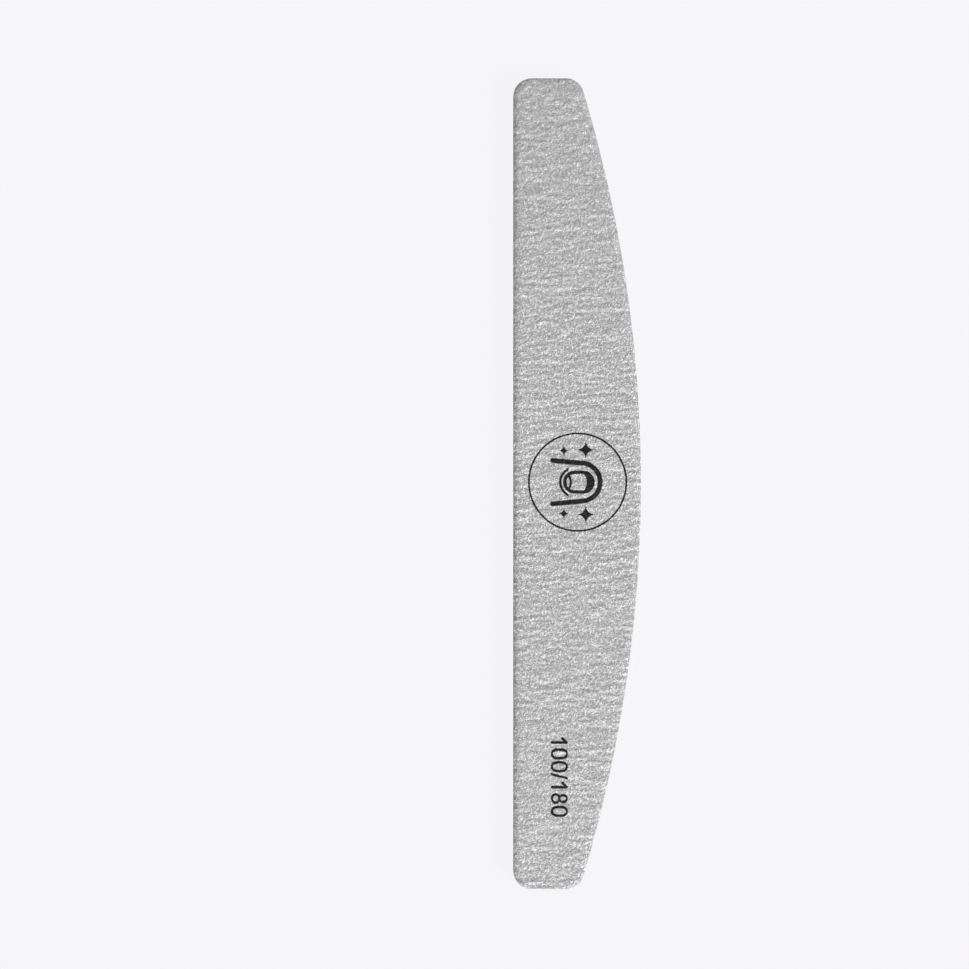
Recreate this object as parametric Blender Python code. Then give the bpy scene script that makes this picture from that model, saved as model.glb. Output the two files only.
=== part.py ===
"""A half-moon nail file: a plastic strip between two foam pads, with grit-coated paper on both faces.

The file lies flat on z = 0 with its fine face up. Its length runs along Y, its straight side
faces -X and its bowed side +X. Every layer is a separate solid, held to the next by a thin
film of adhesive that the bond gap stands for.
"""

import math

import bmesh
import bpy

# Outline, in metres.
LENGTH = 0.178
WIDTH = 0.028
END_WIDTH = 0.0145
CORNER_RADIUS = 0.0040

# Layers, in metres.
CORE_THICKNESS = 0.0008
CORE_EDGE_RADIUS = 0.0001
CORE_TAPE_THICKNESS = 0.0001
FOAM_THICKNESS = 0.00095
PAPER_TAPE_THICKNESS = 0.0001
PAPER_THICKNESS = 0.0002
COARSE_GRIT_THICKNESS = 0.00018
FINE_GRIT_THICKNESS = 0.00012
BOND_GAP = 0.00002

# Edges, in metres. The die that cuts the file out presses the rims of both faces in, and the
# front face more, because the blade enters there.
ROLL_WIDTH = 0.0015
FRONT_ROLL_DROP = 0.00035
REAR_ROLL_DROP = 0.00015
FOAM_DRAW_IN = 0.00015

# Counts, and the angle past which an edge is shaded as a crease.
BOW_SEGMENTS = 24
CORNER_SEGMENTS = 6
ROLL_STEPS = 3
FOAM_WALL_STEPS = 4
CREASE_ANGLE = math.radians(35)

# Finishes: colour, roughness, metallic.
COARSE_GRIT_FINISH = ((0.52, 0.52, 0.53), 0.92, 0.0)
FINE_GRIT_FINISH = ((0.49, 0.49, 0.50), 0.88, 0.0)
PAPER_FINISH = ((0.78, 0.77, 0.74), 0.85, 0.0)
TAPE_FINISH = ((0.80, 0.79, 0.72), 0.45, 0.0)
FOAM_FINISH = ((0.30, 0.30, 0.31), 0.90, 0.0)
CORE_FINISH = ((0.84, 0.84, 0.83), 0.40, 0.0)


def clear_scene():
    for obj in list(bpy.data.objects):
        bpy.data.objects.remove(obj, do_unlink=True)


def new_collection(name):
    collection = bpy.data.collections.new(name)
    bpy.context.scene.collection.children.link(collection)
    return collection


def new_material(name, finish):
    colour, roughness, metallic = finish
    material = bpy.data.materials.new(name)
    material.use_nodes = True
    shader = material.node_tree.nodes["Principled BSDF"]
    shader.inputs["Base Color"].default_value = (*colour, 1.0)
    shader.inputs["Roughness"].default_value = roughness
    shader.inputs["Metallic"].default_value = metallic
    material.diffuse_color = (*colour, 1.0)
    return material


def arc(centre, radius, start, end, segments):
    """Points from one angle to another, both ends included."""
    angles = [start + (end - start) * step / segments for step in range(segments + 1)]
    return [
        (centre[0] + radius * math.cos(angle), centre[1] + radius * math.sin(angle))
        for angle in angles
    ]


def outline(inset):
    """The half-moon outline drawn in by inset, counter-clockwise from the lower end of the bow."""
    bow_height = WIDTH - END_WIDTH
    bow_radius = ((LENGTH / 2) ** 2 + bow_height**2) / (2 * bow_height)
    bow_centre_x = WIDTH / 2 - bow_radius
    radius = CORNER_RADIUS - inset
    corner_y = LENGTH / 2 - CORNER_RADIUS
    straight_corner_x = CORNER_RADIUS - WIDTH / 2
    reach = math.sqrt((bow_radius - CORNER_RADIUS) ** 2 - corner_y**2)
    bow_corner_x = bow_centre_x + reach
    bow_angle = math.atan2(corner_y, reach)
    quarter = math.pi / 2

    points = arc((bow_centre_x, 0.0), bow_radius - inset, -bow_angle, bow_angle, BOW_SEGMENTS)
    points += arc((bow_corner_x, corner_y), radius, bow_angle, quarter, CORNER_SEGMENTS)[1:]
    points += arc((straight_corner_x, corner_y), radius, quarter, 2 * quarter, CORNER_SEGMENTS)
    points += arc((straight_corner_x, -corner_y), radius, 2 * quarter, 3 * quarter, CORNER_SEGMENTS)
    last = arc((bow_corner_x, -corner_y), radius, -quarter, -bow_angle, CORNER_SEGMENTS)
    return points + last[:-1]


def finish_object(obj, collection, material):
    obj.data.materials.append(material)
    collection.objects.link(obj)


def flat_sheet(name, bottom, thickness, edge_radius=0.0):
    """A level sheet of the outline: a filled 2D curve, extruded by half its thickness."""
    curve = bpy.data.curves.new(name, "CURVE")
    curve.dimensions = "2D"
    curve.fill_mode = "BOTH"
    curve.extrude = thickness / 2 - edge_radius
    curve.bevel_depth = edge_radius
    curve.bevel_resolution = 1
    points = outline(edge_radius)
    spline = curve.splines.new("POLY")
    spline.points.add(len(points) - 1)
    for point, (x, y) in zip(spline.points, points):
        point.co = (x, y, 0.0, 1.0)
    spline.use_cyclic_u = True
    obj = bpy.data.objects.new(name, curve)
    obj.location.z = bottom + thickness / 2
    return obj


def loft(name, rings):
    """A closed solid through a row of outlines, each given by its inset and its height."""
    bm = bmesh.new()
    station = bm.verts.layers.int.new("station")
    inset, height = rings[0]
    for number, (x, y) in enumerate(outline(inset)):
        bm.verts.new((x, y, height))[station] = number
    face = bm.faces.new(bm.verts)
    for inset, height in rings[1:]:
        grown = bmesh.ops.extrude_face_region(bm, geom=[face, *face.edges])
        face = next(item for item in grown["geom"] if isinstance(item, bmesh.types.BMFace))
        points = outline(inset)
        for vert in face.verts:
            vert.co = (*points[vert[station]], height)
    bmesh.ops.recalc_face_normals(bm, faces=bm.faces)
    mesh = bpy.data.meshes.new(name)
    bm.to_mesh(mesh)
    bm.free()
    mesh.shade_smooth()
    mesh.set_sharp_from_angle(angle=CREASE_ANGLE)
    return bpy.data.objects.new(name, mesh)


def roll(surface, drop):
    """Rings of a face at height surface, from its flat middle out to its rim, which is drop lower."""
    rings = []
    for step in range(ROLL_STEPS + 1):
        share = step / ROLL_STEPS
        rings.append((ROLL_WIDTH * (1 - share), surface - drop * share**2))
    return rings


def rolled_sheet(name, inner, outer, drop):
    """A sheet of even thickness that follows the rolled rim."""
    return loft(name, roll(inner, drop) + roll(outer, drop)[::-1])


def foam_pad(name, inner, outer, drop):
    """A pad with a flat inner face, a hollow side wall and an outer face that rolls at its rim."""
    rim = outer - drop
    wall = []
    for step in range(FOAM_WALL_STEPS):
        share = step / FOAM_WALL_STEPS
        inset = FOAM_DRAW_IN * 4 * share * (1 - share)
        wall.append((inset, inner + (rim - inner) * share))
    return loft(name, wall + roll(outer, drop)[::-1])


def build_side(collection, core_face, side, label, roll_drop, grit_thickness, grit_finish):
    """The five layers from the core's face out to the grit; side is 1 above the core, -1 below."""
    drop = side * roll_drop

    def next_layer(start, thickness):
        inner = start + side * BOND_GAP
        return inner, inner + side * thickness

    inner, outer = next_layer(core_face, CORE_TAPE_THICKNESS)
    tape = flat_sheet(f"core_tape_{label}", min(inner, outer), CORE_TAPE_THICKNESS)
    finish_object(tape, collection, new_material(f"core_tape_{label}", TAPE_FINISH))

    inner, outer = next_layer(outer, FOAM_THICKNESS)
    foam = foam_pad(f"foam_pad_{label}", inner, outer, drop)
    finish_object(foam, collection, new_material(f"foam_pad_{label}", FOAM_FINISH))

    inner, outer = next_layer(outer, PAPER_TAPE_THICKNESS)
    tape = rolled_sheet(f"paper_tape_{label}", inner, outer, drop)
    finish_object(tape, collection, new_material(f"paper_tape_{label}", TAPE_FINISH))

    inner, outer = next_layer(outer, PAPER_THICKNESS)
    paper = rolled_sheet(f"backing_paper_{label}", inner, outer, drop)
    finish_object(paper, collection, new_material(f"backing_paper_{label}", PAPER_FINISH))

    inner, outer = next_layer(outer, grit_thickness)
    grit = rolled_sheet(f"grit_coat_{label}", inner, outer, drop)
    finish_object(grit, collection, new_material(f"grit_coat_{label}", grit_finish))


def side_thickness(grit_thickness):
    """How far one side of the file stands out from the core."""
    layers = (
        CORE_TAPE_THICKNESS,
        FOAM_THICKNESS,
        PAPER_TAPE_THICKNESS,
        PAPER_THICKNESS,
        grit_thickness,
    )
    return sum(layers) + len(layers) * BOND_GAP


def build_file():
    collection = new_collection("nail_file")
    core_bottom = side_thickness(COARSE_GRIT_THICKNESS)
    core_top = core_bottom + CORE_THICKNESS
    core = flat_sheet("core_strip", core_bottom, CORE_THICKNESS, CORE_EDGE_RADIUS)
    finish_object(core, collection, new_material("core_strip", CORE_FINISH))
    rear = (REAR_ROLL_DROP, COARSE_GRIT_THICKNESS, COARSE_GRIT_FINISH)
    front = (FRONT_ROLL_DROP, FINE_GRIT_THICKNESS, FINE_GRIT_FINISH)
    build_side(collection, core_bottom, -1, "rear", *rear)
    build_side(collection, core_top, 1, "front", *front)


clear_scene()
build_file()
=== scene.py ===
"""The look of a half-moon nail file: its grit faces, printed marks and cut edges, on a pale floor."""

import math

import bmesh
import bpy
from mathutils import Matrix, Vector, noise


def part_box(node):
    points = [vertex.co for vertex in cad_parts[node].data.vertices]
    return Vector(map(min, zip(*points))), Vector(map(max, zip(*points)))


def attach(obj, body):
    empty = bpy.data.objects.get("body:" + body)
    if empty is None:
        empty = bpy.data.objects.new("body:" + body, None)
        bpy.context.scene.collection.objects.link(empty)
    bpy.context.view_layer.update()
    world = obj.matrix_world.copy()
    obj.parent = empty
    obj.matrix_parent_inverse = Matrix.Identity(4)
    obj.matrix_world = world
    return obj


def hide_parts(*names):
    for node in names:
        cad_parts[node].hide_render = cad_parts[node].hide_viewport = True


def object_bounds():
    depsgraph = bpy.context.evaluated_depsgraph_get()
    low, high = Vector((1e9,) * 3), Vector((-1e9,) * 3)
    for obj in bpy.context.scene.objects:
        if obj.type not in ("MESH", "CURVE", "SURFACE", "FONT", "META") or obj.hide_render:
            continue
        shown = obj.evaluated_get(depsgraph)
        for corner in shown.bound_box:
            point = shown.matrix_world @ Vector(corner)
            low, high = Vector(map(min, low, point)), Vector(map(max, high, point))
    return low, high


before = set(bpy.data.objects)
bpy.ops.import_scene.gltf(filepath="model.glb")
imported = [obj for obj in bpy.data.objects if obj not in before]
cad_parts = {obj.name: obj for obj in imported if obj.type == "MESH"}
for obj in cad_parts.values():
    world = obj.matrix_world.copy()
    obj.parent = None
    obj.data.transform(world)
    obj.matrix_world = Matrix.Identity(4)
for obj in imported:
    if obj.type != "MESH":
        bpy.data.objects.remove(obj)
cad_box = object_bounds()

MM = 0.001

# The outline and the rolled rims, as the solids have them.
END_WIDTH = 14.5 * MM
CORNER_RADIUS = 4.0 * MM
ROLL_WIDTH = 1.5 * MM
FOAM_DRAW_IN = 0.15 * MM

file_low, file_high = cad_box
WIDTH = file_high.x - file_low.x
LENGTH = file_high.y - file_low.y
BOW_HEIGHT = WIDTH - END_WIDTH
BOW_RADIUS = ((LENGTH / 2) ** 2 + BOW_HEIGHT**2) / (2 * BOW_HEIGHT)
BOW_CENTRE_X = WIDTH / 2 - BOW_RADIUS
CORNER_Y = LENGTH / 2 - CORNER_RADIUS
STRAIGHT_CORNER_X = CORNER_RADIUS - WIDTH / 2
BOW_CORNER_REACH = math.sqrt((BOW_RADIUS - CORNER_RADIUS) ** 2 - CORNER_Y**2)
BOW_CORNER_X = BOW_CENTRE_X + BOW_CORNER_REACH
BOW_ANGLE = math.atan2(CORNER_Y, BOW_CORNER_REACH)

# The grit faces' meshes. The flattening is how much of their relief is pressed away at the rim.
GRIT_STEP = 0.25 * MM
CORNER_ROWS = 22
RIM_CHIP = 0.06 * MM
RIM_CHIP_SIZE = 0.7 * MM
RIM_CHIP_BIAS = 0.25
SOFT_RIM_WIDTH = 2.2 * MM
RIM_FLATTENING = 0.65
UNDER_RINGS = 3
CREASE_ANGLE = math.radians(55)

# The ripples' heights, and what they lose towards the far end, where dimples take their place, and
# towards the near end. These changes, and the speckle's, start this far from the middle of the
# file and are whole after the reach.
LONG_RIPPLE_SHARE = 0.62
LONG_RIPPLE_FAR_LOSS = 0.3
SHORT_RIPPLE_SHARE = 0.5
SHORT_RIPPLE_FAR_LOSS = 0.2
FAR_DIMPLE_SHARE = 0.5
RIPPLE_NEAR_LOSS = 0.15
SMOOTH_START = 15 * MM
SMOOTH_REACH = 70 * MM
RIPPLE_RELIEF_SHARE = 0.85
PIT_RELIEF_SHARE = 0.3
SWAY = 0.5 * MM
SWAY_SIZE = (9 * MM, 5 * MM)

# Each pattern reads its own layer of the noise, counted from the layer of its coat, or is shifted
# along the noise.
SWAY_LAYER = 0.5
SHORT_RIPPLE_LAYER = 1.4
PIT_LAYER = 2.8
DIMPLE_LAYER = 4.1
FLECK_SHIFT = (3.3, 8.1)
DUST_SHIFT = (5.5, 1.7)

# The ripples' crests and painted lit sides, and the flecks, stand out brighter than the hollows and
# painted shaded sides are dark, because their squares count. The middle is what the flecks' square
# comes to on average.
CREST_AND_LIT_SIDE_SHARE = 0.9
FLECK_MIDDLE = 0.26

# The coats' cut edge shows their dark grains, and so lies below the tones of their faces.
CUT_EDGE_TONE = -0.35

# The coats' sheen, which the tops of the grains and the ink raise a little.
GRIT_ROUGHNESS = 0.95
GRAIN_POLISH = 0.12
INK_POLISH = 0.15
GRIT_SPECULAR = 0.15

# Each coat lies in ripples across the file that rise a little towards one side. Finer flecks
# lean the same way. The shares say how much each of them lightens or darkens the coat. The ripple
# light share is painted light and shade: the side of each ripple that faces the near end, towards
# the key light, is painted lighter and the other side darker. The rim share is painted shade along
# the rim together with a worn coat there. A coat gets a little darker towards the far end, and its
# speckle fainter there than at the near end.
FINE_GRIT = {
    "slot": "fine_grit",
    "thickness": 0.12 * MM,
    "roll_drop": 0.35 * MM,
    "relief": 0.10 * MM,
    "ripple_size": (4.8 * MM, 0.85 * MM),
    "short_ripple_size": (1.9 * MM, 0.72 * MM),
    "dimple_size": (1.3 * MM, 0.95 * MM),
    "pit_size": 0.55 * MM,
    "far_tilt": math.radians(8),
    "painted_ripple_light_share": 0.31,
    "ripple_top_share": 0.155,
    # The rim share paints shade along the rim, together with a worn coat there.
    "rim_wear_and_shade_share": 0.11,
    "fleck_size": (0.75 * MM, 0.40 * MM),
    "fleck_lean": math.radians(55),
    "fleck_share": 0.58,
    "grain_size": (0.95 * MM, 0.36 * MM),
    "grain_lean": math.radians(8),
    "grain_share": 0.44,
    "dust_size": (0.24 * MM, 0.23 * MM),
    "dust_share": 1.28,
    "smooth_share": 0.21,
    "smooth_far_share": 0.40,
    "tone_fall_share": 0.06,
    "tones": ((0.0, 0.245), (0.5, 0.42), (1.0, 0.92)),
    "bump": 0.12 * MM,
    "noise_layer": 1.3,
}
COARSE_GRIT = {
    "slot": "coarse_grit",
    "thickness": 0.18 * MM,
    "roll_drop": 0.15 * MM,
    "relief": 0.14 * MM,
    "ripple_size": (3.6 * MM, 0.95 * MM),
    "short_ripple_size": (1.9 * MM, 0.78 * MM),
    "dimple_size": (1.4 * MM, 1.05 * MM),
    "pit_size": 0.6 * MM,
    "far_tilt": math.radians(-6),
    "painted_ripple_light_share": 0.36,
    "ripple_top_share": 0.16,
    # The rim share paints shade along the rim, together with a worn coat there.
    "rim_wear_and_shade_share": 0.12,
    "fleck_size": (0.80 * MM, 0.36 * MM),
    "fleck_lean": math.radians(-55),
    "fleck_share": 0.80,
    "grain_size": (0.60 * MM, 0.30 * MM),
    "grain_lean": math.radians(-12),
    "grain_share": 0.60,
    "dust_size": (0.22 * MM, 0.21 * MM),
    "dust_share": 2.0,
    "smooth_share": 0.12,
    "smooth_far_share": 0.50,
    "tone_fall_share": 0.04,
    "tones": ((0.0, 0.205), (0.5, 0.43), (1.0, 0.945)),
    "bump": 0.14 * MM,
    "noise_layer": 5.3,
}

# The foam's walls, and the finer cells and clouds of their finish.
FOAM_STEP = 0.28 * MM
FOAM_WALL_RINGS = 8
FOAM_ROLL_RINGS = 3
PORE_DEPTH = 0.05 * MM
PORE_SIZE = 0.3 * MM
PORE_BIAS = 0.2
CELL_SIZE = 0.16 * MM
CELL_RELIEF = 0.08 * MM
CELL_SHARE = 1.3
CELL_POLISH = 0.1
FOAM_CLOUD_SIZE = 4 * MM
FOAM_CLOUD_SHARE = 0.5
FOAM_TONE_BASE = -0.4
FOAM_DARK = 0.16
FOAM_LIGHT = 0.36
FOAM_ROUGHNESS = 0.96

# The cut edges of the sheets: a dark and a light colour and the roughness of each kind, and the
# upright marks that the die leaves on all of them.
CUT_EDGES = {
    "backing_paper": ((0.42, 0.41, 0.38, 1.0), (0.60, 0.59, 0.56, 1.0), 0.8),
    "adhesive_tape": ((0.36, 0.35, 0.31, 1.0), (0.52, 0.51, 0.46, 1.0), 0.4),
    "core_plastic": ((0.56, 0.56, 0.555, 1.0), (0.68, 0.68, 0.675, 1.0), 0.35),
}
SHEET_FINISHES = {
    "backing_paper": "backing_paper",
    "paper_tape": "adhesive_tape",
    "core_tape": "adhesive_tape",
}
DIE_MARK_SIZE = (0.25 * MM, 0.25 * MM, 3 * MM)
DIE_MARK_RELIEF = 0.03 * MM
DIE_MARK_SHARE = 0.9
DIE_MARK_ROUGHNESS = 0.1
EDGE_CLOUD_SIZE = 6 * MM
EDGE_CLOUD_SHARE = 0.6
EDGE_TONE_BASE = -0.25

# The print on the front face. It reads along -Y, with the tops of its figures towards +X.
PRINT_RING_CENTRE = (0.09 * MM, 0.32 * MM)
PRINT_RING_RADIUS = 10.69 * MM
PRINT_RING_STROKE = 0.41 * MM
FIGURES = "100/180"
FIGURES_BASE_X = -5.78 * MM
FIGURES_START_Y = -55.11 * MM
FIGURE_HEIGHT = 3.75 * MM
FIGURE_WIDTH = 2.54 * MM
FIGURE_STROKE = 0.61 * MM
FIGURE_CAP_STROKE = 0.49 * MM
FIGURE_ADVANCE = 2.81 * MM
SLASH_ADVANCE = 1.36 * MM
SLASH_LEAN = 0.9 * MM
SLASH_STROKE = 0.54 * MM
ZERO_POWER = 2.5
EIGHT_POWER = 2.1
EIGHT_LOWER_SHARE = 0.56
EIGHT_WIDTH_SHARES = (0.96, 0.82)
ONE_STEM_SHARE = 0.125
ONE_FLAG_SHARES = (0.36, 0.74)
INK_EDGE = 0.05 * MM
INK_RAGGEDNESS = 0.06 * MM
INK_RAG_SIZE = 0.3 * MM
INK_THIN_SHARE = 0.05
INK_GREY = 0.004

# The emblem in the ring stands upright, and its places are measured from the ring's middle. A
# sparkle is on both sides: how far out and how high it lies, and its size.
FINGER_RADIUS = 4.2 * MM
FINGER_TOP = 0.75 * MM
FINGER_FOOT = -5.5 * MM
FINGER_WIDENING = 0.09
FINGER_STROKE = 1.1 * MM
NAIL_RADIUS = 2.15 * MM
NAIL_STRAIGHT = 0.95 * MM
NAIL_MIDDLE = 0.3 * MM
NAIL_STROKE = 0.75 * MM
FREE_EDGE_RADIUS = 2.9 * MM
FREE_EDGE_CENTRE = -0.9 * MM
MOON_RADIUS = 2.6 * MM
MOON_CENTRE = -4.1 * MM
MOON_STROKE = 0.5 * MM
FOLD_RADIUS = 3.15 * MM
FOLD_CENTRE = -0.65 * MM
FOLD_TOP = -2.2 * MM
FOLD_STROKE = 0.55 * MM
SPARKLES = ((7.1 * MM, 1.8 * MM, 2.4 * MM), (6.9 * MM, -3.0 * MM, 1.5 * MM))

# The camera looks straight down from where the photo was taken.
LENS = 100.0
SENSOR = 36.0
IMAGE_PIXELS = 969
FILE_LENGTH_PIXELS = 811.1
FILE_CENTRE_PIXEL = (577.2, 483.6)

# Light and floor.
FLOOR_COLOUR = (0.9216, 0.9131, 0.9387)
FLOOR_MATT_SHARE = 0.03
FLOOR_SEGMENTS = 64
BACKDROP_SEGMENTS = (48, 24)
STAGE_RADIUS = 3.0
SKY_STRENGTH = 0.33
BOUNCE_STRENGTH = 0.75
SUN_STRENGTH = 3.92
SUN_HEIGHT = math.radians(34.5)
SUN_TURN = math.radians(-29)
SUN_ANGLE = math.radians(20)


class Value:
    """A value in a material's nodes. Arithmetic on it adds Math nodes."""

    def __init__(self, finish, socket):
        self.finish = finish
        self.socket = socket

    def math(self, operation, *values):
        inputs = dict(enumerate(values))
        return self.finish.add("ShaderNodeMath", {"operation": operation}, inputs)

    def __add__(self, other):
        return self.math("ADD", self, other)

    def __radd__(self, other):
        return self.math("ADD", other, self)

    def __sub__(self, other):
        return self.math("SUBTRACT", self, other)

    def __rsub__(self, other):
        return self.math("SUBTRACT", other, self)

    def __mul__(self, other):
        return self.math("MULTIPLY", self, other)

    def __rmul__(self, other):
        return self.math("MULTIPLY", other, self)

    def __truediv__(self, other):
        return self.math("DIVIDE", self, other)

    def __neg__(self):
        return self.math("MULTIPLY", self, -1.0)

    def __abs__(self):
        return self.math("ABSOLUTE", self)

    def __pow__(self, power):
        return self.math("POWER", self, power)

    def least(self, other):
        return self.math("MINIMUM", self, other)

    def most(self, other):
        return self.math("MAXIMUM", self, other)

    def root(self):
        return self.math("SQRT", self)

    def clamped(self):
        return self.least(1.0).most(0.0)


class Finish:
    """The nodes of a material or of the room's light. Its add method makes each of them."""

    def __init__(self, owner):
        owner.use_nodes = True
        self.owner = owner
        self.tree = owner.node_tree

    def add(self, kind, settings=None, inputs=None, output=0):
        node = self.tree.nodes.new(kind)
        for name, value in (settings or {}).items():
            if name == "stops":
                self.set_stops(node.color_ramp.elements, value)
            else:
                setattr(node, name, value)
        for key, value in (inputs or {}).items():
            self.put(node.inputs[key], value)
        return Value(self, node.outputs[output])

    def put(self, socket, value):
        if isinstance(value, Value):
            self.tree.links.new(value.socket, socket)
        else:
            socket.default_value = value

    def place(self):
        return self.add("ShaderNodeTexCoord", output="Object")

    def face_place(self):
        """The place along X and along Y."""
        x = self.add("ShaderNodeSeparateXYZ", None, {"Vector": self.place()}, "X")
        return x, Value(self, x.socket.node.outputs["Y"])

    def set_stops(self, elements, stops):
        while len(elements) < len(stops):
            elements.new(1.0)
        for element, (place, level) in zip(elements, stops):
            element.position = place
            element.color = grey(level)

    def noise(self, size, detail=0.0):
        """Noise from 0 to 1 whose blobs are about size, in metres along each axis."""
        scale = tuple(1 / length for length in size)
        stretched = self.add("ShaderNodeMapping", None, {"Vector": self.place(), "Scale": scale})
        return self.speckle("3D", stretched, detail)

    def face_noise(self, size, lean=0.0, shift=(0.0, 0.0)):
        """Noise across the face that is the same through its thickness, its blobs leaning up from X."""
        turned = self.add(
            "ShaderNodeMapping", None, {"Vector": self.place(), "Rotation": (0.0, 0.0, -lean)}
        )
        scale = (1 / size[0], 1 / size[1], 1.0)
        inputs = {"Vector": turned, "Scale": scale, "Location": (*shift, 0.0)}
        return self.speckle("2D", self.add("ShaderNodeMapping", None, inputs), 0.0)

    def speckle(self, dimensions, place, detail):
        inputs = {"Vector": place, "Scale": 1.0, "Detail": detail, "Roughness": 0.5}
        return self.add("ShaderNodeTexNoise", {"noise_dimensions": dimensions}, inputs)

    def tones(self, share, stops):
        """Greys that follow the stops, each a place from 0 to 1 and a level."""
        return self.add("ShaderNodeValToRGB", {"stops": stops}, {0: share})

    def blend(self, share, first, second):
        """A colour that goes from first to second as share goes from 0 to 1."""
        inputs = {0: share, 6: first, 7: second}
        return self.add("ShaderNodeMix", {"data_type": "RGBA"}, inputs, output=2)

    def feed(self, name, socket, value):
        """Sets one socket of a node that was there from the start."""
        self.put(self.tree.nodes[name].inputs[socket], value)

    def shade(self, colour, roughness, height, relief):
        """Sets the shader: height from 0 to 1 stands for relief in metres."""
        bump = self.add("ShaderNodeBump", None, {"Distance": relief, "Height": height})
        self.feed("Principled BSDF", "Base Color", colour)
        self.feed("Principled BSDF", "Roughness", roughness)
        self.feed("Principled BSDF", "Normal", bump)
        return self.owner


def material_finish(name):
    return Finish(bpy.data.materials.new(name))


def grey(level):
    return (level, level, level, 1.0)


def hypotenuse(a, b):
    return (a * a + b * b).root()


def line_distance(u, v, start, end):
    """How far (u, v) lies from the line between two points."""
    across, up = end[0] - start[0], end[1] - start[1]
    past_u, past_v = u - start[0], v - start[1]
    along = ((past_u * across + past_v * up) / (across**2 + up**2)).clamped()
    return hypotenuse(past_u - along * across, past_v - along * up)


def pill(u, v, middle, radius, straight):
    """A signed distance from the edge of an upright pill, straight this far up and down its middle."""
    return hypotenuse(u, (abs(v - middle) - straight).most(0.0)) - radius


def oval(u, v, half_width, half_height, power):
    """A signed distance from about the edge of an oval, which is squarer the higher the power."""
    across = (abs(u) / half_width) ** power
    up = (abs(v) / half_height) ** power
    return ((across + up) ** (1 / power) - 1) * half_width


def oval_loop(u, v, width, height, power):
    """A loop whose stroke is thinner at its top and foot, as a signed distance from its edges."""
    inner = oval(u, v, width / 2 - FIGURE_STROKE, height / 2 - FIGURE_CAP_STROKE, power)
    return oval(u, v, width / 2, height / 2, power).most(-inner)


def figure_edge(u, v, figure):
    """A figure standing on v = 0 round u = 0, as a signed distance from its edges."""
    if figure == "0":
        return oval_loop(u, v - FIGURE_HEIGHT / 2, FIGURE_WIDTH, FIGURE_HEIGHT, ZERO_POWER)
    if figure == "8":
        lower_height = EIGHT_LOWER_SHARE * FIGURE_HEIGHT
        upper_height = FIGURE_HEIGHT - lower_height + FIGURE_CAP_STROKE
        lower_width, upper_width = (share * FIGURE_WIDTH for share in EIGHT_WIDTH_SHARES)
        lower = oval_loop(u, v - lower_height / 2, lower_width, lower_height, EIGHT_POWER)
        upper_middle = FIGURE_HEIGHT - upper_height / 2
        return lower.least(oval_loop(u, v - upper_middle, upper_width, upper_height, EIGHT_POWER))
    foot = FIGURE_STROKE / 2
    head = FIGURE_HEIGHT - FIGURE_STROKE / 2
    if figure == "1":
        stem = ONE_STEM_SHARE * FIGURE_WIDTH
        stroke = line_distance(u, v, (stem, foot), (stem, head))
        flag_end = (stem - ONE_FLAG_SHARES[0] * FIGURE_WIDTH, ONE_FLAG_SHARES[1] * head)
        flag = line_distance(u, v, (stem, head), flag_end)
        return stroke.least(flag) - FIGURE_STROKE / 2
    slash = line_distance(u, v, (-SLASH_LEAN / 2, 0.0), (SLASH_LEAN / 2, FIGURE_HEIGHT))
    return (slash - SLASH_STROKE / 2).most(abs(v - FIGURE_HEIGHT / 2) - FIGURE_HEIGHT / 2)


def printed_figures(u, v):
    """The grit figures, as a signed distance from their edges."""
    edge = None
    start = 0.0
    for figure in FIGURES:
        advance = SLASH_ADVANCE if figure == "/" else FIGURE_ADVANCE
        drawn = figure_edge(u - (start + advance / 2), v, figure)
        edge = drawn if edge is None else edge.least(drawn)
        start += advance
    return edge


def sparkle(u, v, centre, size):
    """A four-pointed star, as a signed distance from about its edge."""
    points = abs(u - centre[0]).root() + abs(v - centre[1]).root()
    return (points - math.sqrt(size)) * math.sqrt(size)


def printed_emblem(u, v):
    """A plain fingertip with its nail, between sparkles, as a signed distance from its edges."""
    widening = (FINGER_TOP - v).most(0.0) * FINGER_WIDENING
    finger = hypotenuse(u, (v - FINGER_TOP).most(0.0)) - FINGER_RADIUS - widening
    finger = hypotenuse(finger, (FINGER_FOOT - v).most(0.0)) - FINGER_STROKE / 2
    inside = pill(u, v, NAIL_MIDDLE, NAIL_RADIUS, NAIL_STRAIGHT)
    nail = abs(inside) - NAIL_STROKE / 2
    free_edge = inside.most(FREE_EDGE_RADIUS - hypotenuse(u, v - FREE_EDGE_CENTRE))
    moon = abs(hypotenuse(u, v - MOON_CENTRE) - MOON_RADIUS) - MOON_STROKE / 2
    fold = hypotenuse(u, v - FOLD_CENTRE) - FOLD_RADIUS
    fold = hypotenuse(fold, (v - FOLD_TOP).most(0.0)) - FOLD_STROKE / 2
    emblem = finger.least(nail).least(free_edge).least(moon.most(inside)).least(fold)
    for side in (-1, 1):
        for out, height, size in SPARKLES:
            emblem = emblem.least(sparkle(u, v, (side * out, height), size))
    return emblem


def printed_ink(finish):
    """Where the front face is inked, from 0 to 1."""
    x, y = finish.face_place()
    ring_x, ring_y = x - PRINT_RING_CENTRE[0], y - PRINT_RING_CENTRE[1]
    ring = abs(hypotenuse(ring_x, ring_y) - PRINT_RING_RADIUS) - PRINT_RING_STROKE / 2
    emblem = printed_emblem(-ring_y, ring_x)
    figures = printed_figures(FIGURES_START_Y - y, x - FIGURES_BASE_X)
    ragged = (finish.face_noise((INK_RAG_SIZE, INK_RAG_SIZE)) - 0.5) * (2 * INK_RAGGEDNESS)
    edge = ring.least(emblem).least(figures) + ragged
    return (0.5 - edge / INK_EDGE).clamped()


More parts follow.
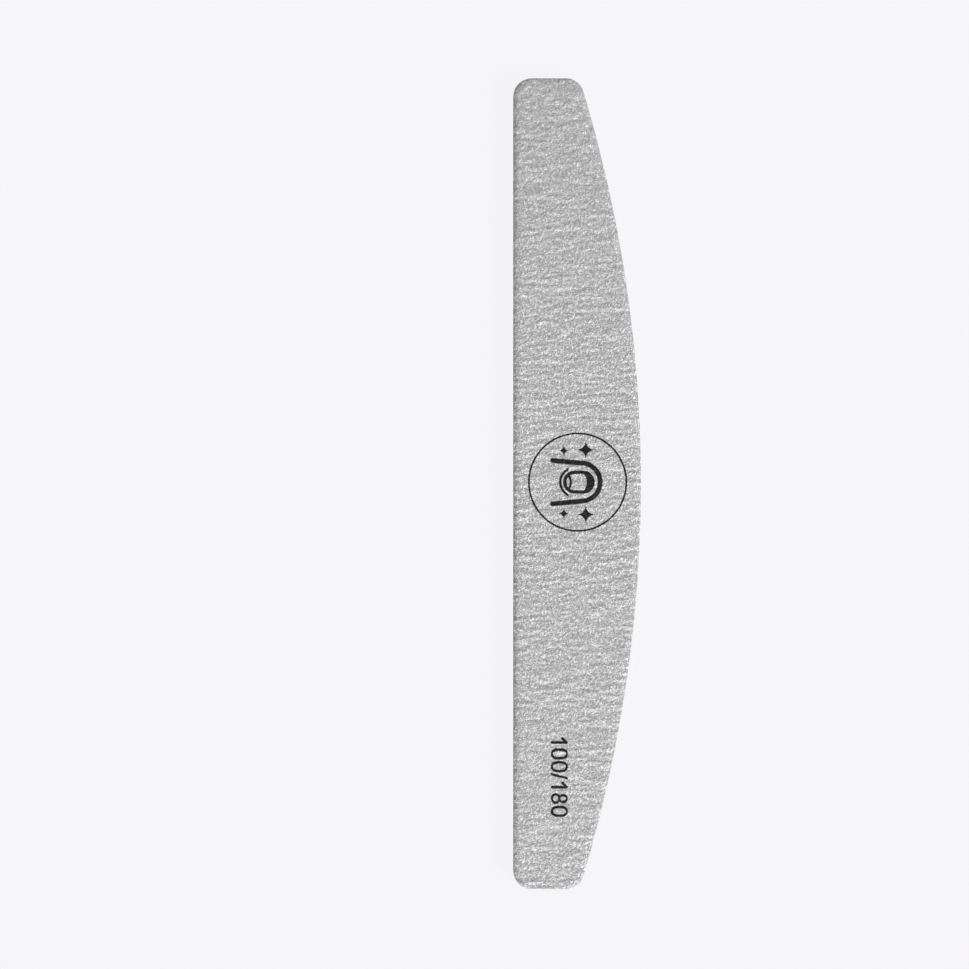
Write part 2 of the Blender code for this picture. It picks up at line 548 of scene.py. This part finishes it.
def grit_finish(grit, printed=False):
    """Grey grit whose coat attribute holds its ripples' painted light and shade and its rim's painted
    shade and wear, with leaning flecks, grains and dust.
    """
    finish = material_finish(grit["slot"])
    coat = finish.add("ShaderNodeAttribute", {"attribute_name": "coat"}, output="Fac")
    flecks = finish.face_noise(grit["fleck_size"], grit["fleck_lean"], FLECK_SHIFT)
    grains = finish.face_noise(grit["grain_size"], grit["grain_lean"])
    dust = finish.face_noise(grit["dust_size"], grit["grain_lean"], DUST_SHIFT)
    speckle = (flecks * flecks - FLECK_MIDDLE) * grit["fleck_share"]
    speckle = speckle + (grains - 0.5) * grit["grain_share"]
    speckle = speckle + (dust - 0.5) * grit["dust_share"]
    y = finish.face_place()[1]
    smooth = ((abs(y) - SMOOTH_START) / SMOOTH_REACH).clamped()
    smooth = smooth * (y * (grit["smooth_far_share"] / LENGTH) + grit["smooth_share"])
    tone = coat + speckle * (1 - smooth) - y * (grit["tone_fall_share"] / LENGTH)
    colour = finish.tones(tone.clamped(), grit["tones"])
    roughness = GRIT_ROUGHNESS - grains * GRAIN_POLISH
    if printed:
        ink = printed_ink(finish)
        colour = finish.blend(ink * (1 - grains * INK_THIN_SHARE), colour, grey(INK_GREY))
        roughness = roughness - ink * INK_POLISH
    finish.feed("Principled BSDF", "Specular IOR Level", GRIT_SPECULAR)
    return finish.shade(colour, roughness, flecks * 0.5 + grains * 0.5, grit["bump"])


def foam_finish():
    finish = material_finish("foam")
    cells = finish.noise((CELL_SIZE,) * 3, detail=2.0)
    clouds = finish.noise((FOAM_CLOUD_SIZE,) * 3, detail=2.0)
    tone = (cells * CELL_SHARE + clouds * FOAM_CLOUD_SHARE + FOAM_TONE_BASE).clamped()
    colour = finish.blend(tone, grey(FOAM_DARK), grey(FOAM_LIGHT))
    return finish.shade(colour, FOAM_ROUGHNESS - cells * CELL_POLISH, cells, CELL_RELIEF)


def cut_edge_finish(name, dark, light, roughness):
    """A sheet whose cut edge shows faint upright marks from the die."""
    finish = material_finish(name)
    marks = finish.noise(DIE_MARK_SIZE, detail=3.0)
    clouds = finish.noise((EDGE_CLOUD_SIZE,) * 3, detail=2.0)
    tone = (marks * DIE_MARK_SHARE + clouds * EDGE_CLOUD_SHARE + EDGE_TONE_BASE).clamped()
    colour = finish.blend(tone, dark, light)
    return finish.shade(colour, roughness + marks * DIE_MARK_ROUGHNESS, marks, DIE_MARK_RELIEF)


def side_limits(y):
    """Where the outline meets the line at y, on its straight side and on its bow."""
    past = max(abs(y) - CORNER_Y, 0.0)
    reach = math.sqrt(max(CORNER_RADIUS**2 - past**2, 0.0))
    if past > CORNER_RADIUS * math.sin(BOW_ANGLE):
        return STRAIGHT_CORNER_X - reach, BOW_CORNER_X + reach
    return STRAIGHT_CORNER_X - reach, BOW_CENTRE_X + math.sqrt(BOW_RADIUS**2 - y * y)


def rim(x, y):
    """How far a point lies inside the outline, up to the corner radius, and the way straight out."""
    point = Vector((x, y))
    corner_y = math.copysign(CORNER_Y, y)
    nearest = Vector((max(x, STRAIGHT_CORNER_X), max(min(y, CORNER_Y), -CORNER_Y)))
    bow_centre = Vector((BOW_CENTRE_X, 0.0))
    inner_radius = BOW_RADIUS - CORNER_RADIUS
    if (nearest - bow_centre).length > inner_radius:
        nearest = bow_centre + (point - bow_centre).normalized() * inner_radius
        if abs(nearest.y) > CORNER_Y:
            nearest = Vector((BOW_CORNER_X, corner_y))
    out = point - nearest
    return CORNER_RADIUS - out.length, out.normalized()


def roll_share(depth):
    """How much of the roll's drop the sheets under the coat have at this distance inside the rim."""
    return max(1 - depth / ROLL_WIDTH, 0.0) ** 2


def soft_rim(depth):
    """How far into the coat's soft rim this distance inside the outline is, from 0 to 1 at the edge."""
    return max(1 - depth / SOFT_RIM_WIDTH, 0.0)


def streaked(x, y, size, far_tilt, layer):
    """Noise from about -1 to 1 in streaks of this size. They sway, and rise towards the far end."""
    tilt = far_tilt * (y / LENGTH + 0.5)
    u = x * math.cos(tilt) + y * math.sin(tilt)
    v = y * math.cos(tilt) - x * math.sin(tilt)
    sway = noise.noise((x / SWAY_SIZE[0], y / SWAY_SIZE[1], layer + SWAY_LAYER))
    return noise.noise((u / size[0], (v + sway * SWAY) / size[1], layer))


def ripple(grit, x, y):
    """The height of the ripples from about -1 to 1.

    They break up into dimples at the far end and are a little weaker at the near one.
    """
    far = min(max((y - SMOOTH_START) / SMOOTH_REACH, 0.0), 1.0)
    near = min(max((-y - SMOOTH_START) / SMOOTH_REACH, 0.0), 1.0)
    tilt, layer = grit["far_tilt"], grit["noise_layer"]
    long = streaked(x, y, grit["ripple_size"], tilt, layer)
    short = streaked(x, y, grit["short_ripple_size"], tilt, layer + SHORT_RIPPLE_LAYER)
    dimple = streaked(x, y, grit["dimple_size"], tilt, layer + DIMPLE_LAYER)
    height = (LONG_RIPPLE_SHARE - LONG_RIPPLE_FAR_LOSS * far) * long
    height += (SHORT_RIPPLE_SHARE - SHORT_RIPPLE_FAR_LOSS * far) * short
    height += FAR_DIMPLE_SHARE * far * dimple
    return height * (1 - RIPPLE_NEAR_LOSS * near)


def relief_height(grit, x, y):
    """How high the grit stands here, from 0 to 1."""
    size, layer = grit["pit_size"], grit["noise_layer"] + PIT_LAYER
    pits = noise.noise((x / size, y / size, layer))
    height = 0.5 + RIPPLE_RELIEF_SHARE * ripple(grit, x, y) + PIT_RELIEF_SHARE * pits
    return max(min(height, 1.0), 0.0)


def coat_tone_and_painted_light(grit, x, y, depth):
    """Painted light and shade on the ripples: the side of each that faces the near end is painted
    lighter, the other side darker. The pale coat lies a little thicker on the crests, and the rim is
    darker, with painted shade and a worn coat.
    """
    # side is the ripple's slope towards the near end: painted light where the key light falls on it,
    # painted shade on the far side.
    side = ripple(grit, x, y + GRIT_STEP) - ripple(grit, x, y - GRIT_STEP)
    painted_light_and_crest = grit["painted_ripple_light_share"] * side + grit["ripple_top_share"] * ripple(grit, x, y)
    tone = 0.5 + painted_light_and_crest + CREST_AND_LIT_SIDE_SHARE * painted_light_and_crest**2
    # Darker along the rim: painted shade, and a worn coat.
    return tone - grit["rim_wear_and_shade_share"] * soft_rim(depth) ** 2


def rim_chip(x, y, layer):
    """How far the coat's rim has crumbled back at this place."""
    worn = noise.noise((x / RIM_CHIP_SIZE, y / RIM_CHIP_SIZE, layer))
    return RIM_CHIP * max(worn + RIM_CHIP_BIAS, 0.0)


def row_height(share, rows):
    """The y of a row of the grit mesh; share goes from -1 to 1, and rows crowd at the corners."""
    row = (share + 1) / 2 * rows
    if row < CORNER_ROWS:
        return -CORNER_Y - CORNER_RADIUS * math.cos(row / CORNER_ROWS * math.pi / 2)
    if row > rows - CORNER_ROWS:
        return CORNER_Y + CORNER_RADIUS * math.cos((rows - row) / CORNER_ROWS * math.pi / 2)
    return CORNER_Y * (2 * (row - CORNER_ROWS) / (rows - 2 * CORNER_ROWS) - 1)


def finished_object(name, bm, material):
    bmesh.ops.recalc_face_normals(bm, faces=bm.faces)
    mesh = bpy.data.meshes.new(name)
    bm.to_mesh(mesh)
    bm.free()
    mesh.shade_smooth()
    mesh.set_sharp_from_angle(angle=CREASE_ANGLE)
    mesh.materials.append(material)
    obj = bpy.data.objects.new(name, mesh)
    bpy.context.scene.collection.objects.link(obj)
    return obj


def grit_coat(name, surface, side, grit, material):
    """A closed grit sheet: a fine grid laid into the outline, with a rolled rim and a plain back."""
    rows = 2 * CORNER_ROWS + round(2 * CORNER_Y / GRIT_STEP)
    bm = bmesh.new()
    coat = bm.verts.layers.float.new("coat")
    bmesh.ops.create_grid(bm, x_segments=round(WIDTH / GRIT_STEP), y_segments=rows, size=1.0)
    for vert in bm.verts:
        y = row_height(vert.co.y, rows)
        left, right = side_limits(y)
        x = left + (right - left) * (vert.co.x + 1) / 2
        depth, out = rim(x, y)
        if vert.is_boundary:
            chip = rim_chip(x, y, grit["noise_layer"])
            x -= out.x * chip
            y -= out.y * chip
        # The coat attribute carries the painted ripple light and shade and the painted rim shade.
        vert[coat] = coat_tone_and_painted_light(grit, x, y, depth)
        relief = grit["relief"] * (1 - relief_height(grit, x, y))
        relief *= 1 - RIM_FLATTENING * soft_rim(depth)
        drop = grit["roll_drop"] * soft_rim(depth) ** 3 + relief
        vert.co = (x, y, surface - side * drop)
    edges = [edge for edge in bm.edges if edge.is_boundary]
    for step in range(UNDER_RINGS + 1):
        inset = ROLL_WIDTH * step / UNDER_RINGS
        back = surface - side * (grit["thickness"] + grit["roll_drop"] * roll_share(inset))
        grown = bmesh.ops.extrude_edge_only(bm, edges=edges)["geom"]
        for vert in (item for item in grown if isinstance(item, bmesh.types.BMVert)):
            depth, out = rim(vert.co.x, vert.co.y)
            move = inset - depth
            vert.co = (vert.co.x - out.x * move, vert.co.y - out.y * move, back)
            vert[coat] = CUT_EDGE_TONE
        edges = [item for item in grown if isinstance(item, bmesh.types.BMEdge)]
    bmesh.ops.edgeloop_fill(bm, edges=edges)
    return finished_object(name, bm, material)


def rim_walk(step):
    """Places about step apart along the outline, each with the direction straight out from it."""
    quarter = math.pi / 2
    arcs = [
        ((BOW_CENTRE_X, 0.0), BOW_RADIUS, -BOW_ANGLE, BOW_ANGLE),
        ((BOW_CORNER_X, CORNER_Y), CORNER_RADIUS, BOW_ANGLE, quarter),
        ((STRAIGHT_CORNER_X, CORNER_Y), CORNER_RADIUS, quarter, 2 * quarter),
        ((STRAIGHT_CORNER_X, -CORNER_Y), CORNER_RADIUS, 2 * quarter, 3 * quarter),
        ((BOW_CORNER_X, -CORNER_Y), CORNER_RADIUS, 3 * quarter, 4 * quarter - BOW_ANGLE),
    ]
    places = []
    for centre, radius, start, end in arcs:
        first = Vector(centre) + radius * Vector((math.cos(start), math.sin(start)))
        if places:
            last, out = places[-1]
            count = round((first - last).length / step)
            places += [(last.lerp(first, share / count), out) for share in range(1, count)]
        count = max(round(radius * (end - start) / step), 1)
        for share in range(count + 1):
            angle = start + (end - start) * share / count
            out = Vector((math.cos(angle), math.sin(angle)))
            places.append((Vector(centre) + radius * out, out))
    spaced = [places[0]]
    for place in places[1:]:
        if (place[0] - spaced[-1][0]).length > step / 2 and (place[0] - places[0][0]).length > step / 2:
            spaced.append(place)
    return spaced


def foam_pad(name, node, side, roll_drop, material):
    """A foam pad with a flat inner face and a porous, slightly hollow cut wall."""
    low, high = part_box(node)
    inner = low.z if side > 0 else high.z
    outer = high.z if side > 0 else low.z
    rim_height = outer - side * roll_drop
    rings = []
    for step in range(FOAM_WALL_RINGS + 1):
        share = step / FOAM_WALL_RINGS
        inset = FOAM_DRAW_IN * 4 * share * (1 - share)
        porous = 0 < step < FOAM_WALL_RINGS
        rings.append((inset, inner + (rim_height - inner) * share, porous))
    for step in range(FOAM_ROLL_RINGS):
        inset = ROLL_WIDTH * (step + 1) / FOAM_ROLL_RINGS
        rings.append((inset, outer - side * roll_drop * roll_share(inset), False))
    places = rim_walk(FOAM_STEP)
    bm = bmesh.new()
    station = bm.verts.layers.int.new("station")
    bmesh.ops.create_circle(bm, cap_ends=True, segments=len(places), radius=1.0)
    for number, vert in enumerate(bm.verts):
        vert[station] = number
    face = next(iter(bm.faces))
    for number, (inset, height, porous) in enumerate(rings):
        if number:
            grown = bmesh.ops.extrude_face_region(bm, geom=[face, *face.edges])
            face = next(item for item in grown["geom"] if isinstance(item, bmesh.types.BMFace))
        for vert in face.verts:
            point, out = places[vert[station]]
            back = inset
            if porous:
                cell = Vector((point.x, point.y, height)) / PORE_SIZE
                back += PORE_DEPTH * max(noise.noise(cell) + PORE_BIAS, 0.0)
            vert.co = (*(point - out * back), height)
    return finished_object(name, bm, material)


def dress_object():
    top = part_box("grit_coat_front")[1].z
    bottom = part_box("grit_coat_rear")[0].z
    coats = {
        "front": grit_coat("grit_front", top, 1, FINE_GRIT, grit_finish(FINE_GRIT, printed=True)),
        "rear": grit_coat("grit_rear", bottom, -1, COARSE_GRIT, grit_finish(COARSE_GRIT)),
    }
    foam = foam_finish()
    pads = {
        "front": foam_pad("foam_front", "foam_pad_front", 1, FINE_GRIT["roll_drop"], foam),
        "rear": foam_pad("foam_rear", "foam_pad_rear", -1, COARSE_GRIT["roll_drop"], foam),
    }
    for label, grit in (("front", FINE_GRIT), ("rear", COARSE_GRIT)):
        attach(coats[label], "root")
        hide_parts(f"grit_coat_{label}")
        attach(pads[label], "root")
        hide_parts(f"foam_pad_{label}")
    finishes = {name: cut_edge_finish(name, *look) for name, look in CUT_EDGES.items()}
    for kind, name in SHEET_FINISHES.items():
        for label in ("front", "rear"):
            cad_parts[f"{kind}_{label}"].material_slots[0].material = finishes[name]
    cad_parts["core_strip"].material_slots[0].material = finishes["core_plastic"]


def stage_finish(name, matt_share):
    """A glowing pale surface with a share of it matt, so that only faint shadows show."""
    finish = material_finish(name)
    finish.tree.nodes.remove(finish.tree.nodes["Principled BSDF"])
    glow = finish.add("ShaderNodeEmission", None, {"Color": (*FLOOR_COLOUR, 1.0)})
    matt = finish.add("ShaderNodeBsdfDiffuse", None, {"Color": (*FLOOR_COLOUR, 1.0)})
    surface = finish.add("ShaderNodeMixShader", None, {0: matt_share, 1: glow, 2: matt})
    finish.feed("Material Output", "Surface", surface)
    return finish.owner


def make_stage():
    """A floor and a backdrop that the camera sees, but that throw no light on the file."""
    bm = bmesh.new()
    bmesh.ops.create_circle(bm, cap_ends=True, segments=FLOOR_SEGMENTS, radius=STAGE_RADIUS)
    floor = finished_object("floor", bm, stage_finish("floor", FLOOR_MATT_SHARE))
    bm = bmesh.new()
    around, up = BACKDROP_SEGMENTS
    bmesh.ops.create_uvsphere(bm, u_segments=around, v_segments=up, radius=STAGE_RADIUS)
    backdrop = finished_object("backdrop", bm, stage_finish("backdrop", 0.0))
    backdrop.visible_shadow = False
    for surface in (floor, backdrop):
        surface.visible_diffuse = False
        surface.visible_glossy = False


def make_light():
    """A soft key light in an even room, with more light bounced up from below."""
    room = Finish(bpy.data.worlds.new("room"))
    bpy.context.scene.world = room.owner
    direction = room.add("ShaderNodeTexCoord", output="Generated")
    height = room.add("ShaderNodeSeparateXYZ", None, {"Vector": direction}, "Z")
    below = height.math("LESS_THAN", height, 0.0)
    room.feed("Background", "Color", grey(1.0))
    room.feed("Background", "Strength", below * (BOUNCE_STRENGTH - SKY_STRENGTH) + SKY_STRENGTH)
    sun = bpy.data.lights.new("key", "SUN")
    sun.energy = SUN_STRENGTH
    sun.angle = SUN_ANGLE
    light = bpy.data.objects.new("key", sun)
    towards = Vector((math.cos(SUN_TURN), math.sin(SUN_TURN), math.tan(SUN_HEIGHT)))
    light.rotation_euler = towards.to_track_quat("Z", "Y").to_euler()
    bpy.context.scene.collection.objects.link(light)


def make_camera():
    """A camera straight above, placed so that the file lies where the photo has it."""
    pixel = LENGTH / FILE_LENGTH_PIXELS
    data = bpy.data.cameras.new("camera")
    data.lens = LENS
    data.sensor_width = SENSOR
    distance = IMAGE_PIXELS * pixel * LENS / SENSOR
    camera = bpy.data.objects.new("camera", data)
    camera.location = (
        (IMAGE_PIXELS / 2 - FILE_CENTRE_PIXEL[0]) * pixel,
        (FILE_CENTRE_PIXEL[1] - IMAGE_PIXELS / 2) * pixel,
        file_high.z + distance,
    )
    bpy.context.scene.collection.objects.link(camera)
    bpy.context.scene.camera = camera


dress_object()
make_stage()
make_light()
make_camera()
bpy.context.scene.view_settings.view_transform = "Standard"
